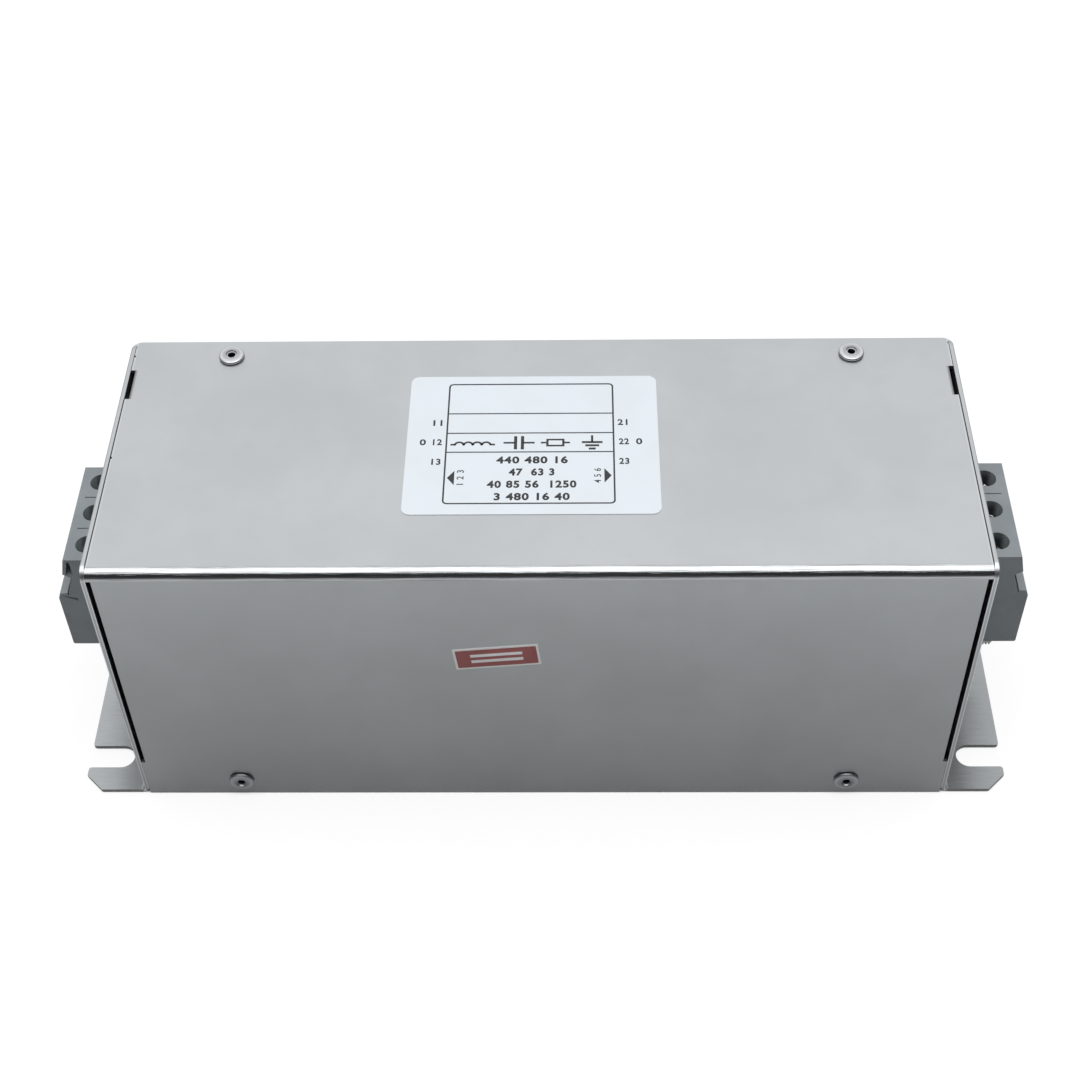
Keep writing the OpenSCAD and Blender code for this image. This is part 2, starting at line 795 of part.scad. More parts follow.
// Three arms that keep the phases apart in the bore of the choke.
module phase_separator() {
    arm_t = 1.2;
    arm_l = ring_in - core_gap;
    half = turn_axial + wire_d / 2;
    gap_middle = (phase_start[1] + phase_start[0] + (turns + 0.5) * turn_step) / 2;
    color("ivory") translate([0, 0, choke_z]) rotate([90, 0, 90]) translate([0, 0, -half])
        linear_extrude(2 * half) for (phase = [0, 1, 2])
            rotate(gap_middle + 120 * phase) translate([0, -arm_t / 2]) square([arm_l, arm_t]);
}

module choke_cradle() {
    cradle_x = ring_w / 2;
    cradle_y = 22;
    cradle_top = board_top + 11;
    color("black") difference() {
        translate([-cradle_x, -cradle_y, board_top]) cube([2 * cradle_x, 2 * cradle_y, cradle_top - board_top]);
        on_choke_axis() translate([0, 0, -2 * cradle_x]) cylinder(r = seat_r, h = 4 * cradle_x, $fn = 96);
    }
}

// Squared-off circle: cosine or sine pushed towards the corners of its box.
function squared(value) = sign(value) * pow(abs(value), 1 / 3);

// The upper phase is wound outwards first, the lower two inwards, so that their leads fall to the board.
function way(phase) = sin(phase_start[phase] + 50) > 0 ? 1 : -1;

// A point of a winding after some turns; the middle of its wire.
function turn_point(phase, turn) =
    let (around = phase_start[phase] + turn_step * turn,
         out = ring_mid + way(phase) * turn_radial * squared(sin(360 * turn)))
    [-turn_axial * squared(cos(360 * turn)), out * cos(around), choke_z + out * sin(around)];

function winding_turns() = turns + 0.5;

// Foot of a winding's first lead (last = 0) or last lead (last = 1), under the board.
function lead_foot(phase, last) =
    let (end = turn_point(phase, last * winding_turns()))
    [(last > 0 ? 1 : -1) * lead_x, end[1], board_z - 1.5];

// Direction in which the wire leaves its first point, or reaches its last.
function end_direction(phase, last) =
    let (around = phase_start[phase] + last * turn_step * winding_turns(),
         sense = way(phase) * (last > 0 ? -1 : 1))
    [0, sense * cos(around), sense * sin(around)];

function bezier(a, b, c, d, t) =
    pow(1 - t, 3) * a + 3 * t * pow(1 - t, 2) * b + 3 * t * t * (1 - t) * c + t * t * t * d;

// Lead from its foot to the first turn. The last lead is the same curve, walked back.
function lead(phase, last) =
    let (start = turn_point(phase, last * winding_turns()),
         foot = lead_foot(phase, last),
         sense = last > 0 ? -1 : 1,
         knee = [foot[0], foot[1], start[2] - 8],
         pull = 5)
    concat([foot], [for (step = [0:5])
        bezier(knee, knee + [0, 0, pull], start - sense * pull * end_direction(phase, last), start, step / 6)]);

function reversed(list) = [for (i = [len(list) - 1:-1:0]) list[i]];

steps_per_turn = 16;

function winding_path(phase) =
    concat(lead(phase, 0),
        [for (i = [0:winding_turns() * steps_per_turn]) turn_point(phase, i / steps_per_turn)],
        reversed(lead(phase, 1)));

function unit(v) = v / norm(v);

// Direction of travel at each point of a path.
function travel(path, i) =
    unit(path[min(i + 1, len(path) - 1)] - path[max(i - 1, 0)]);

// Carries a normal from one point to the next without twist.
function carried(normal, direction) = unit(normal - (normal * direction) * direction);

function normals(path, i = 0, last = [1, 0, 0], found = []) =
    i == len(path) ? found :
    let (next = carried(last, travel(path, i)))
    normals(path, i + 1, next, concat(found, [next]));

// Round wire along a path, as one closed solid.
module wire(path, diameter, sides = 6) {
    frames = normals(path);
    count = len(path);
    points = [for (i = [0:count - 1])
        let (n = frames[i], b = cross(travel(path, i), n))
        for (k = [0:sides - 1])
            path[i] + diameter / 2 * (cos(360 * k / sides) * n + sin(360 * k / sides) * b)];
    faces = concat(
        [[for (k = [0:sides - 1]) k]],
        [for (i = [0:count - 2], k = [0:sides - 1])
            let (a = i * sides + k, b = i * sides + (k + 1) % sides)
            [a, a + sides, b + sides, b]],
        [[for (k = [sides - 1:-1:0]) (count - 1) * sides + k]]);
    polyhedron(points, faces);
}

module phase_winding(phase) {
    color("orangered") wire(winding_path(phase), wire_d);
}

chassis();
cover();
cover_rivets();
rivet_mandrels();
rating_label();
front_sticker();
for (i = [0:2]) {
    line_pole(i);
    load_pole(i);
    bar(-1, i);
    bar(1, i);
    phase_winding(i);
    mains_capacitor(-1, i);
    mains_capacitor(1, i);
}
clamp_cages(-1);  // line_clamp_cages
clamp_cages(1);  // load_clamp_cages
clamp_screws(-1);  // line_clamp_screws
clamp_screws(1);  // load_clamp_screws
earth_studs();
earth_flat_washers();
earth_spring_washers();
earth_nuts();
floor_insulator();
main_board();
board_standoffs();
board_screws();
earth_capacitors(-1);  // line_earth_capacitors
earth_capacitors(1);  // load_earth_capacitors
discharge_resistors();
choke_core();
core_case();
core_case_lid();
phase_separator();
choke_cradle();
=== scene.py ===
# %% [markdown]
# # A mains filter in a folded steel case
#
# This filter is two folded sheets of steel, four rivets, a block of terminals at each end and the
# parts inside. They are already exact solids. This file gives them their finishes, and adds what
# a solid model leaves out: the print on the label and on the sticker, the threads of the earth
# studs, and the worked heads of the clamp screws.

# %% The tools, and the solid model as a fixed frame
import json
import math

import bpy
from mathutils import Matrix, Vector


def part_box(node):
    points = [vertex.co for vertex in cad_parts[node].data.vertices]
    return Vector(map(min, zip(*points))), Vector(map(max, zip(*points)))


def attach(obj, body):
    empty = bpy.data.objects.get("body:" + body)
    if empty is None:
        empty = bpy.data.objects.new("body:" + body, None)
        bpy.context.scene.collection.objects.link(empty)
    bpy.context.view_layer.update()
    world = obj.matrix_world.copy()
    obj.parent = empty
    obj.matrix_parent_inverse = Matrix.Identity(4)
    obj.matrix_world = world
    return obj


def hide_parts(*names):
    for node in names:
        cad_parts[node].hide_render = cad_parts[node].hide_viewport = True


MM = 0.001
ROOT = "root"
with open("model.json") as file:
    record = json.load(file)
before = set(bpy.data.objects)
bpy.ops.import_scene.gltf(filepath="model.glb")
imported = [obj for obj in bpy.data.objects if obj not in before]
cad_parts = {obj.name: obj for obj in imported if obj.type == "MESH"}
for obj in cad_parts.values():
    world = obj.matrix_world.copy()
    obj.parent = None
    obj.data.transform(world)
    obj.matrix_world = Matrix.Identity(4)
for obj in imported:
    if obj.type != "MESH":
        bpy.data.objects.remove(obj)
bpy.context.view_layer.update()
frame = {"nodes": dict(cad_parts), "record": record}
print(len(frame["nodes"]), "solid pieces loaded")

# %% [markdown]
# ## Where things are
#
# Places come from the boxes of solid pieces, so the finishes and the added pieces follow the
# model if it changes. The few sizes that no box shows, such as the sheet's thickness, are stated.
# Boxes, the camera and the lamp are in metres. Sizes on the filter are in millimetres, and MM
# turns them into metres.

# %% Corners of the case
cover_low, cover_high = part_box("cover")
label_low, label_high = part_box("rating_label")
sticker_low, sticker_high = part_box("front_sticker")
screws_low, screws_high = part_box("load_clamp_screws")
WASHER_H = 1.2
SHEET = 1.0
SEAM_GAP = 0.15
CASE_TOP = cover_high.z / MM
CASE_FRONT = cover_low.y / MM
CASE_BACK = cover_high.y / MM
CASE_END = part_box("earth_flat_washers")[1].x / MM - WASHER_H
SEAM_X = CASE_END - SHEET - SEAM_GAP
SCREW_HEAD_R = 2.5
SCREW_X = (screws_low.x + screws_high.x) / 2 / MM
POLE_PITCH = (screws_high.y - screws_low.y) / MM / 2 - SCREW_HEAD_R
print(f"case top {CASE_TOP:.1f} mm, front {CASE_FRONT:.2f} mm, end {CASE_END:.2f} mm")
print(f"clamp screws {SCREW_X:.1f} mm out, {POLE_PITCH:.2f} mm apart")

# %% [markdown]
# ## Camera
#
# The camera comes first, because everything after it is judged through it. It stands in front of
# the case and a little to the right of its middle, and looks down on it at 48 degrees. It is
# turned by its three angles in the order of a tripod: pan, tilt, roll.

# %% Camera
CAMERA_PLACE = (0.0090, -0.29655, 0.38115)
PAN, TILT, ROLL = math.radians(1.796), math.radians(47.932), math.radians(-1.547)
camera_data = bpy.data.cameras.new("camera")
camera_data.sensor_width = 36
camera_data.lens = 60.73
camera_data.dof.use_dof = False
camera = bpy.data.objects.new("camera", camera_data)
bpy.context.scene.collection.objects.link(camera)
tripod = Matrix.Rotation(PAN, 4, "Z") @ Matrix.Rotation(math.pi / 2 - TILT, 4, "X")
camera.matrix_world = Matrix.Translation(CAMERA_PLACE) @ tripod @ Matrix.Rotation(ROLL, 4, "Z")
bpy.context.scene.camera = camera
print(f"camera looks down at {math.degrees(TILT):.1f} degrees, lens {camera_data.lens:.1f} mm")

# %% [markdown]
# ## A small language for shader nodes
#
# A node graph is arithmetic drawn as boxes. The class Value holds one output socket, and its
# operators add the Math node that does the sum, so a mask is written as it is read. Graph makes
# any other node from its type, its settings and what feeds it.


# %% Values and graphs
class Value:
    """An output socket. Arithmetic on it adds Math nodes."""

    def __init__(self, socket):
        self.socket = socket

    def math(self, operation, *values):
        graph = Graph(self.socket.id_data)
        return graph.node("ShaderNodeMath", {"operation": operation}, dict(enumerate(values)))

    def __add__(self, other):
        return self.math("ADD", self, other)

    def __sub__(self, other):
        return self.math("SUBTRACT", self, other)

    def __rsub__(self, other):
        return self.math("SUBTRACT", other, self)

    def __mul__(self, other):
        return self.math("MULTIPLY", self, other)

    def __truediv__(self, other):
        return self.math("DIVIDE", self, other)

    def __abs__(self):
        return self.math("ABSOLUTE", self)

    def __gt__(self, edge):
        return self.math("GREATER_THAN", self, edge)

    def __lt__(self, edge):
        return self.math("LESS_THAN", self, edge)

    __radd__ = __add__
    __rmul__ = __mul__

    def fraction(self):
        return self.math("FRACT", self)

    def least(self, other):
        return self.math("MINIMUM", self, other)

    def most(self, other):
        return self.math("MAXIMUM", self, other)

    def ease(self, start, end):
        """0 at start, 1 at end, smooth between them. The two may be in either order."""
        if end < start:
            return 1 - self.ease(end, start)
        graph = Graph(self.socket.id_data)
        settings = {"interpolation_type": "SMOOTHSTEP"}
        edges = {"Value": self, "From Min": start, "From Max": end}
        return graph.node("ShaderNodeMapRange", settings, edges)


def plug(socket, value):
    if isinstance(value, Value):
        socket.id_data.links.new(value.socket, socket)
    else:
        socket.default_value = value


class Graph:
    """Adds nodes to one node tree."""

    def __init__(self, tree):
        self.tree = tree

    def node(self, kind, settings=None, inputs=None, output=0):
        made = self.tree.nodes.new(kind)
        for name, setting in (settings or {}).items():
            setattr(made, name, setting)
        for name, value in (inputs or {}).items():
            plug(made.inputs[name], value)
        return Value(made.outputs[output])

    def axes(self, vector):
        """The x, y and z of a vector."""
        return [self.node("ShaderNodeSeparateXYZ", None, {0: vector}, axis) for axis in "XYZ"]

    def mix(self, share, first, second):
        """Colour first where share is 0, second where it is 1."""
        settings = {"data_type": "RGBA"}
        return self.node("ShaderNodeMix", settings, {0: share, 6: first, 7: second}, output=2)


class Finish(Graph):
    """A material. Its patterns are placed in millimetres, in the frame of the whole filter."""

    def __init__(self, name):
        self.material = bpy.data.materials.new(name)
        self.material.use_nodes = True
        super().__init__(self.material.node_tree)
        self.shader = self.tree.nodes["Principled BSDF"]
        place = self.node("ShaderNodeTexCoord", output="Object")
        scale = {"operation": "SCALE"}
        self.place = self.node("ShaderNodeVectorMath", scale, {0: place, "Scale": 1 / MM})
        self.facing = self.node("ShaderNodeTexCoord", output="Normal")

    def noise(self, size, detail=2.0, stretch=(1, 1, 1), rough=0.5):
        """Smooth noise from 0 to 1 whose blots are about size millimetres."""
        spread = {"Vector": self.place, "Scale": tuple(1 / (size * s) for s in stretch)}
        place = self.node("ShaderNodeMapping", inputs=spread)
        looks = {"Vector": place, "Scale": 1.0, "Detail": detail, "Roughness": rough}
        return self.node("ShaderNodeTexNoise", inputs=looks)

    def bump(self, height, depth, strength=1.0, under=None):
        """Relief whose height runs from 0 to 1 and is depth millimetres deep."""
        inputs = {"Height": height, "Distance": depth * MM, "Strength": strength}
        if under:
            inputs["Normal"] = under
        return self.node("ShaderNodeBump", inputs=inputs)

    def set(self, **sockets):
        """Sets sockets of the shader, such as base_color=(r, g, b, 1)."""
        for name, value in sockets.items():
            plug(self.shader.inputs[name.replace("_", " ").title()], value)
        return self.material


def tone(level, tint=(1.0, 1.0, 1.0)):
    """A colour from a grey level and a tint."""
    return tuple(level * t for t in tint) + (1.0,)


def scaled(colour, share):
    """A darker or paler colour of the same hue."""
    return tuple(share * c for c in colour[:3]) + (1.0,)


COOL = (0.955, 0.995, 1.02)

# %% [markdown]
# ## Sheet steel
#
# The case is cut from zinc-coated steel. Its skin is a fine, dull grain that blurs whatever it
# mirrors, with faint clouds where the coating is thicker. Three things break it up. A fold is
# rubbed smooth and drawn out in streaks by the press, so it mirrors sharply. A cut edge is bare,
# brighter and streaked across the sheet by the laser. Handling leaves a few hair scratches.
#
# Masks find those places: the folds by where they are, and the cut edges by where they face. Two
# more masks paint light and shade along the rims: painted highlights on rims that catch the light,
# and painted shade on rims that turn from it, in the seams between the two sheets, at the notches
# and on the flanges, which also carry rolled streaks.


# %% Sheet steel
def scratches(finish, size, turn, amount):
    """A few hair lines along one direction: the ridges of a very long noise."""
    length = 30 * size
    spread = (1 / length, 1 / size, 1 / size)
    turned = {"Vector": finish.place, "Rotation": (0.0, 0.0, turn), "Scale": spread}
    spun = finish.node("ShaderNodeMapping", inputs=turned)
    lines = finish.node("ShaderNodeTexNoise", inputs={"Vector": spun, "Scale": 1.0, "Detail": 1.0})
    ridge = abs(lines - 0.5).ease(0.004, 0.0)
    return ridge * finish.noise(22, 1.0).ease(1 - amount, 1.0)


def sheet_steel(name, fold, edge, rim):
    """fold and edge take the finish and return masks: 1 on a fold, 1 on a cut edge. rim returns
    two masks: 1 where a rim has a painted highlight, and 1 where painted shade, or rolled streaks on
    a flange, darken it."""
    steel = Finish(name)
    folded = fold(steel)
    cut = edge(steel)
    painted_highlight, darker = rim(steel)
    clouds = steel.noise(26, 3.0)
    patches = steel.noise(7, 4.0, rough=0.6)
    grain = steel.noise(0.22, 2.0)
    streaks = steel.noise(0.12, 2.0, stretch=(1, 1, 6)) + steel.noise(0.12, 2.0, stretch=(6, 6, 1)) - 0.5
    drawn = steel.noise(0.14, 2.0, stretch=(90, 1, 1))
    hair = scratches(steel, 0.5, 0.35, 0.42) + scratches(steel, 0.45, -1.1, 0.38)
    skin = steel.mix(clouds.ease(0.3, 0.7), tone(0.52, COOL), tone(0.555, COOL))
    skin = steel.mix(patches.ease(0.4, 0.8) * 0.35, skin, tone(0.50, COOL))
    skin = steel.mix(hair * 0.3, skin, tone(0.66))
    skin = steel.mix(folded * drawn.ease(0.5, 0.66) * 0.55, skin, tone(0.16))
    bare = steel.mix(steel.noise(0.35, 1.0).ease(0.2, 0.8), tone(0.62), tone(0.94))
    colour = steel.mix(cut, skin, bare)
    # Painted highlight along the rims.
    colour = steel.mix(painted_highlight, colour, tone(0.95, COOL))
    # Painted shade along rims, seams and notches, and on the chassis flanges with their rolled streaks.
    colour = steel.mix(darker, colour, tone(0.06))
    dull = 0.36 + (clouds - 0.5) * 0.06 + (patches - 0.5) * 0.05 + (grain - 0.5) * 0.08
    dull = dull - hair * 0.08
    relief = steel.bump(grain, 0.0035, 0.5)
    relief = steel.bump(streaks, 0.02, 0.6 * cut, under=relief)
    relief = steel.bump(drawn, 0.03, folded, under=relief)
    return steel.set(
        base_color=colour,
        metallic=1.0,
        roughness=(dull - folded * 0.2).most(0.14) * (1 - cut) + cut * 0.3,
        normal=relief,
    )


# %% Where sheet is folded or cut
FOLD_REACH = 2.4
# A face is square to an axis if its normal's share along the axis is more than this.
SQUARE = 0.9


def cover_folds(steel):
    """The fold between the top and the front."""
    x, y, z = steel.axes(steel.place)
    return (y < CASE_FRONT + FOLD_REACH) * (z > CASE_TOP - FOLD_REACH)


def cover_edges(steel):
    """The cover's cut edges face sideways, down, or back."""
    across, along, up = steel.axes(steel.facing)
    return ((abs(across) > 0.6) + (up < -SQUARE) + (along > SQUARE)).least(1.0)


def chassis_folds(steel):
    """Round the two upright corners at the back, and along the foot of the walls."""
    x, y, z = steel.axes(steel.place)
    back = (y > CASE_BACK - 2.5) * (abs(x) > CASE_END - 1.5)
    foot = (z < 2 * SHEET) * (z > SHEET + 0.05)
    return (back + foot).least(1.0)


def chassis_edges(steel):
    """Tops and fronts of the end walls, and the rim of the flanges and slots."""
    x, y, z = steel.axes(steel.place)
    across, along, up = steel.axes(steel.facing)
    outside = abs(x) > CASE_END
    top = (up > SQUARE) * (z > CASE_TOP - 1.5)
    front = (along < -SQUARE) * (y < CASE_FRONT + 1)
    rim = (abs(x) > CASE_END + 2.5) * (abs(up) < 0.5)
    return ((top + front) * outside + rim).least(1.0)


# %% Light and shade painted along the rims
NOTCH_DEEP = 1.05
NOTCH_LONG = 10.0
NOTCH_INSET = 10.1
NOTCH_X = SEAM_X - NOTCH_DEEP
NOTCH_TO = CASE_BACK - NOTCH_INSET
NOTCH_FROM = NOTCH_TO - NOTCH_LONG


def cover_rim_light_and_shade(steel):
    """Painted highlight along each seam's rim, and painted shade: a line on the seam and on the roll at
    each notch.
    """
    x, y, z = steel.axes(steel.place)
    across, along, up = steel.axes(steel.facing)
    top = (up > SQUARE) * (z > CASE_TOP - 0.5)
    from_seam = SEAM_X - abs(x)
    beside_notch = (y > NOTCH_FROM) * (y < NOTCH_TO)
    # Painted shade on the roll beside each notch, and in the gap of the seam.
    roll = (NOTCH_X - abs(x)).ease(0.75, 0.0) * beside_notch * 0.7
    seam_gap_shade = from_seam.ease(0.14, 0.04) * (y < NOTCH_FROM) * 0.75
    return from_seam.ease(0.5, 0.25) * top * 0.22, (roll + seam_gap_shade).least(1.0) * top


def chassis_rim_light_shade_and_streaks(steel):
    """Painted highlights down the fronts of the end walls, painted shade along their tops and in the
    seam, and darker flanges: rolled streaks, an even darkening, and painted shade beside the walls,
    at the load end and on their front edges."""
    x, y, z = steel.axes(steel.place)
    across, along, up = steel.axes(steel.facing)
    top = (up > SQUARE) * (z > CASE_TOP - 0.5)
    inward = CASE_END - abs(x)
    seam = inward.ease(SHEET - 0.14, SHEET - 0.06) * (y < NOTCH_FROM)
    # Painted shade: a line along the outer corner of each wall's top, and in the seam.
    line = inward.ease(0.26, 0.1) * 0.4 + seam * 0.7
    front = (along < -SQUARE) * (y < CASE_FRONT + 1) * (inward > 0)
    # Painted highlights on both corners of each wall's front edge.
    rims = inward.ease(0.3, 0.15) + inward.ease(SHEET - 0.3, SHEET - 0.15)
    flange = (inward < -0.5) * (z < SHEET + 0.1)
    rolled = steel.noise(0.25, 2.0, stretch=(24, 1, 1)).ease(0.1, 0.9)
    inner = inward.ease(-9, -2)
    # Rolled streaks and painted shade on the flanges: an even darkening, more beside the walls and at
    # the load end.
    flange_streaks_and_shade = (up > 0.5) * (0.1 + rolled * 0.16 + inner * 0.16 + (x > 0) * (0.14 + inner * 0.1))
    # Painted shade on the flanges' front edges.
    front_edge_shade = (along < -0.3) * 0.62
    return front * rims * 0.8, (line * top + flange * (flange_streaks_and_shade + front_edge_shade)).least(1.0)


# %% The two sheets
cover_steel = sheet_steel("zinc_coated_cover", cover_folds, cover_edges, cover_rim_light_and_shade)
chassis_steel = sheet_steel("zinc_coated_chassis", chassis_folds, chassis_edges, chassis_rim_light_shade_and_streaks)
print("sheet steel:", len(cover_steel.node_tree.nodes), "nodes")

# %% [markdown]
# ## Bright metal
#
# Rivets, studs, screws and clamps are plated or turned. They share one recipe: a colour, a
# roughness that wanders a little, and fine tool marks. A mask can darken them: painted shade at
# the foot of each rivet, in bands on its head and on the front rivets' upper slopes, and painted
# shade with blotches of tarnish on the clamp screws.


# %% Bright metal
def bright_metal(name, colour, roughness, mark=0.25, mark_depth=0.003, shade_and_tarnish=None):
    """The optional mask takes the finish and returns 1 where the metal is darkest: painted shade,
    and on the clamp screws tarnish as well.
    """
    metal = Finish(name)
    marks = metal.noise(mark, 3.0, rough=0.7)
    stains = metal.noise(2.5, 3.0)
    skin = metal.mix(stains.ease(0.5, 0.85) * 0.5, colour, scaled(colour, 0.72))
    if shade_and_tarnish:
        # Painted shade, with tarnish on the clamp screws, darkens the metal where the mask is 1.
        skin = metal.mix(shade_and_tarnish(metal), skin, tone(0.03))
    return metal.set(
        base_color=skin,
        metallic=1.0,
        roughness=roughness + (marks - 0.5) * 0.16 + (stains - 0.5) * 0.1,
        normal=metal.bump(marks, mark_depth, 0.6),
    )


def rivet_painted_shade(metal):
    """Painted shade where a rivet's head meets the sheet, in bands at steps of height on the head,
    and on the upper slopes of the front rivets.
    """
    x, y, z = metal.axes(metal.place)
    across, along, up = metal.axes(metal.facing)
    height = (z - CASE_TOP).most(CASE_FRONT - y)
    ring_shade = abs((height * 2.4).fraction() - 0.5).ease(0.28, 0.1)
    upper_slope_shade = up.ease(0.1, 0.5) * (y < CASE_FRONT) * 0.4
    return (height.ease(0.34, 0.1) + ring_shade * 0.3 + upper_slope_shade).least(0.9)


def screw_shade_and_tarnish(metal):
    """The clamp screws, down in their holes, are darker than the earth studs: painted shade, with
    blotches of tarnish.
    """
    x, y, z = metal.axes(metal.place)
    blotches = metal.noise(0.7, 2.0).ease(0.35, 0.65)
    return (z > screws_low.z / MM) * (0.5 + blotches * 0.4)


rivet_tone = tone(0.64, (0.97, 0.99, 1.03))
rivet_metal = bright_metal("rivet_aluminium", rivet_tone, 0.4, 0.4, 0.012, rivet_painted_shade)
# The mandrel's near-black colour is painted shade for the dark hole in each rivet's head.
mandrel_steel = bright_metal("mandrel_steel", tone(0.02), 0.6, 0.15, 0.02)
plated_steel = bright_metal("plated_steel", tone(0.7, (1.0, 0.995, 0.97)), 0.22, shade_and_tarnish=screw_shade_and_tarnish)
clamp_brass = bright_metal("nickelled_brass", tone(0.68, (1.0, 0.96, 0.86)), 0.28)
tinned_copper = bright_metal("tinned_copper", (0.78, 0.6, 0.47, 1.0), 0.3)
enamelled_copper = bright_metal("enamelled_copper", (0.62, 0.22, 0.07, 1.0), 0.2)
enamelled_copper.node_tree.nodes["Principled BSDF"].inputs["Coat Weight"].default_value = 0.6
print("plated steel:", len(plated_steel.node_tree.nodes), "nodes")

# %% [markdown]
# ## Mouldings, films and the board
#
# A moulded part takes the fine spark-eroded texture of its tool. Its colour hardly changes, so
# the texture is what tells it from paint. Films are smooth, and ferrite is dull and gritty. The
# terminal blocks also have two masks that paint shade and a highlight into their screwdriver holes.


# %% Mouldings
def moulding(name, colour, roughness, texture=0.16, depth=0.006, drift=0.08, shade=None):
    """shade takes the finish and returns two masks, 1 where it is darkest and 1 where palest."""
    plastic = Finish(name)
    pits = plastic.noise(texture, 2.0, rough=0.65)
    flow = plastic.noise(9, 2.0)
    darker, paler = scaled(colour, 1 - drift), scaled(colour, 1 + drift)
    body = plastic.mix(flow.ease(0.3, 0.7), darker, paler)
    if shade:
        dark, pale = shade(plastic)
        # A painted highlight, then painted shade, from the two masks.
        body = plastic.mix(pale, body, scaled(colour, 1.9))
        body = plastic.mix(dark, body, scaled(colour, 0.12))
    return plastic.set(
        base_color=body,
        roughness=roughness + (pits - 0.5) * 0.12,
        normal=plastic.bump(pits, depth, 0.7),
    )


BLOCK_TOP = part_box("load_pole_1")[1].z / MM
DRIVER_HOLE_R = 2.75


def driver_hole_light_and_shade(plastic):
    """Painted shade deep down the screwdriver holes and on their side towards the case, and a painted
    highlight on their outer side.
    """
    x, y, z = plastic.axes(plastic.place)
    outward = abs(x) - SCREW_X
    sideways = ((y / POLE_PITCH + 0.5).fraction() - 0.5) * POLE_PITCH
    depth = BLOCK_TOP - z
    inside = (outward * outward + sideways * sideways < DRIVER_HOLE_R**2) * (depth > 0.05)
    dark = inside * (0.2 + depth.ease(0.2, 2.8) * 0.75) * outward.ease(2.4, 0.9)
    pale = inside * outward.ease(1.0, 2.2)
    return dark, pale


block_plastic = moulding("block_moulding", (0.24, 0.267, 0.283, 1.0), 0.5, shade=driver_hole_light_and_shade)
choke_plastic = moulding("choke_moulding", tone(0.03), 0.45)
separator_board = moulding("separator_board", (0.76, 0.72, 0.6, 1.0), 0.7, texture=0.3, depth=0.012)
film_plastic = moulding("insulating_film", (0.78, 0.77, 0.68, 1.0), 0.35, texture=0.8, depth=0.004)
ferrite = moulding("ferrite", tone(0.07), 0.75, texture=0.12, depth=0.02, drift=0.15)
capacitor_plastic = moulding("capacitor_moulding", (0.72, 0.5, 0.07, 1.0), 0.3, texture=0.3, depth=0.003)
resistor_lacquer = moulding("resistor_lacquer", (0.7, 0.55, 0.36, 1.0), 0.4)
print("block moulding:", len(block_plastic.node_tree.nodes), "nodes")


# %% Circuit board
CAPACITOR_PITCH = 19.5


def board_laminate():
    """Green solder mask, with the copper tracks showing through it as paler lanes."""
    board = Finish("board_laminate")
    x, y, z = board.axes(board.place)
    lane = abs((y / CAPACITOR_PITCH).fraction() - 0.5).ease(0.3, 0.26)
    weave = board.noise(0.5, 1.0)
    green = board.mix(lane, (0.012, 0.09, 0.03, 1.0), (0.03, 0.2, 0.06, 1.0))
    return board.set(
        base_color=green,
        roughness=0.32 + (weave - 0.5) * 0.1,
        normal=board.bump(weave, 0.004, 0.5),
    )


laminate = board_laminate()

# %% [markdown]
# ## Label and sticker film
#
# The label is white polyester film with a satin face. The sticker is white paper under a thin
# varnish. Both lie dead flat, so only their sheen wanders.


# %% Films
def printed_film(name, colour, roughness, sheen_size):
    film = Finish(name)
    wander = film.noise(sheen_size, 2.0)
    fibre = film.noise(0.35, 2.0)
    yellower = tuple(c * s for c, s in zip(colour, (0.985, 0.98, 0.965))) + (1.0,)
    return film.set(
        base_color=film.mix(wander.ease(0.35, 0.75), colour, yellower),
        roughness=roughness + (wander - 0.5) * 0.1,
        normal=film.bump(fibre, 0.002, 0.4),
    )


label_film = printed_film("label_film", (0.68, 0.73, 0.78, 1.0), 0.42, 12)
sticker_film = printed_film("sticker_film", (0.86, 0.85, 0.86, 1.0), 0.38, 5)
label_ink = moulding("label_ink", tone(0.022, (0.95, 1.0, 1.1)), 0.5, texture=0.1, depth=0.002)
sticker_red = moulding("sticker_red", (0.34, 0.095, 0.092, 1.0), 0.4, texture=0.2, depth=0.002)
sticker_white = moulding("sticker_white", (0.86, 0.85, 0.86, 1.0), 0.4, texture=0.2, depth=0.002)
print("label film:", len(label_film.node_tree.nodes), "nodes")

# %% [markdown]
# ## Dressing the solid pieces
#
# The record of the solid model says which slot each piece belongs to, so one table from slot to
# finish dresses all of them.

# %% Slot to finish
FINISHES = {
    "chassis_steel": chassis_steel,
    "cover_steel": cover_steel,
    "rivet_metal": rivet_metal,
    "mandrel_steel": mandrel_steel,
    "label_film": label_film,
    "sticker_film": sticker_film,
    "block_moulding": block_plastic,
    "clamp_brass": clamp_brass,
    "plated_steel": plated_steel,
    "tinned_copper": tinned_copper,
    "insulating_film": film_plastic,
    "board_laminate": laminate,
    "ferrite": ferrite,
    "choke_moulding": choke_plastic,
    "separator_moulding": separator_board,
    "enamelled_copper": enamelled_copper,
    "capacitor_moulding": capacitor_plastic,
    "resistor_body": resistor_lacquer,
}
slot_of = {part["node"]: part["material_slot"] for part in frame["record"]["subparts"]}
for node_name, node_object in frame["nodes"].items():
    node_object.data.materials.clear()
    node_object.data.materials.append(FINISHES[slot_of[node_name]])
print(len(FINISHES), "finishes on", len(slot_of), "pieces")

# %% [markdown]
# ## Shapes for print
#
# Print is ink with clean edges at any distance, so it is cut from flat faces, as a plotter
# would cut it, and given the thickness of a coat of ink. Each shape starts as a plane or a disc
# in millimetres on the XY plane. All shapes of one print are joined, thickened and laid on.
#
# An operator acts on all that is selected, so each helper first deselects everything and then
# chooses its piece. A finished piece has its place in its mesh, as the solid pieces have.


